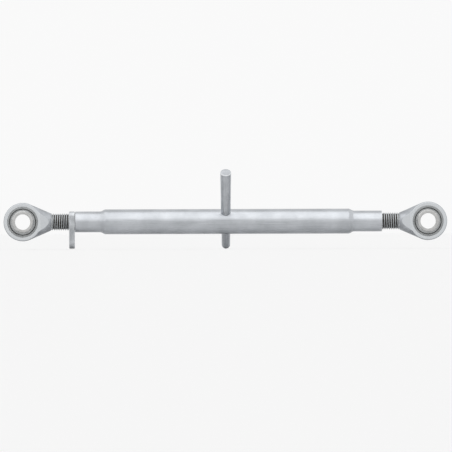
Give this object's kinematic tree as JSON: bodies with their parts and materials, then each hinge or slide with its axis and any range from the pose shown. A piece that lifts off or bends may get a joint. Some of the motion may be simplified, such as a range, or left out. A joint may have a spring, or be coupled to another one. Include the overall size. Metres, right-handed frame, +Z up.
{
  "type": "tractor top link",
  "caption": "Three-point hitch top link: a swaged turnbuckle barrel with a tommy bar turns on left- and right-hand threaded rod ends with captive balls, held by a lever lock nut.",
  "frame": {"origin": "centre of the left ball's pin bore", "axes": "+X along the link from the left ball to the right ball, +Y along the pin bores away from the side that the drawing shows, +Z up"},
  "size_m": [0.7333, 0.1132, 0.1312],
  "materials": {
    "plated_tube": "clear zinc-plated drawn steel",
    "plated_forging": "zinc-plated drop forging with rolled threads",
    "hardened_ball": "turned and hardened bright steel",
    "plated_plate": "zinc-plated steel plate"
  },
  "bodies": {
    "left_end": {"left_rod_end": "plated_forging"},
    "lock_nut": {"lock_nut": "plated_plate"},
    "barrel": {"barrel": "plated_tube", "tommy_bar": "plated_tube"},
    "right_end": {"right_rod_end": "plated_forging"},
    "left_ball": {"left_ball": "hardened_ball"},
    "right_ball": {"right_ball": "hardened_ball"}
  },
  "joints": [
    {"name": "lock_nut_travel", "type": "slide", "parent": "left_end", "child": "lock_nut", "axis": [1, 0, 0], "range_m": [-0.0255, 0.1345]},
    {"name": "barrel_turn", "type": "hinge", "parent": "lock_nut", "child": "barrel", "pos_m": [0.0864, 0, 0], "axis": [-1, 0, 0], "range_deg": [-2520, 13320]},
    {"name": "right_end_travel", "type": "slide", "parent": "left_end", "child": "right_end", "axis": [1, 0, 0], "range_m": [-0.051, 0.269]},
    {"name": "left_ball_swivel", "type": "hinge", "parent": "left_end", "child": "left_ball", "pos_m": [0, 0, 0], "axis": [0, 0, 1], "range_deg": [-15, 15]},
    {"name": "right_ball_swivel", "type": "hinge", "parent": "right_end", "child": "right_ball", "pos_m": [0.6705, 0, 0], "axis": [0, 0, 1], "range_deg": [-15, 15]}
  ],
  "couplings": [
    {"joint": "lock_nut_travel", "follows": "barrel_turn", "m_per_rad": 0.00057751},
    {"joint": "right_end_travel", "follows": "barrel_turn", "m_per_rad": 0.001155}
  ]
}
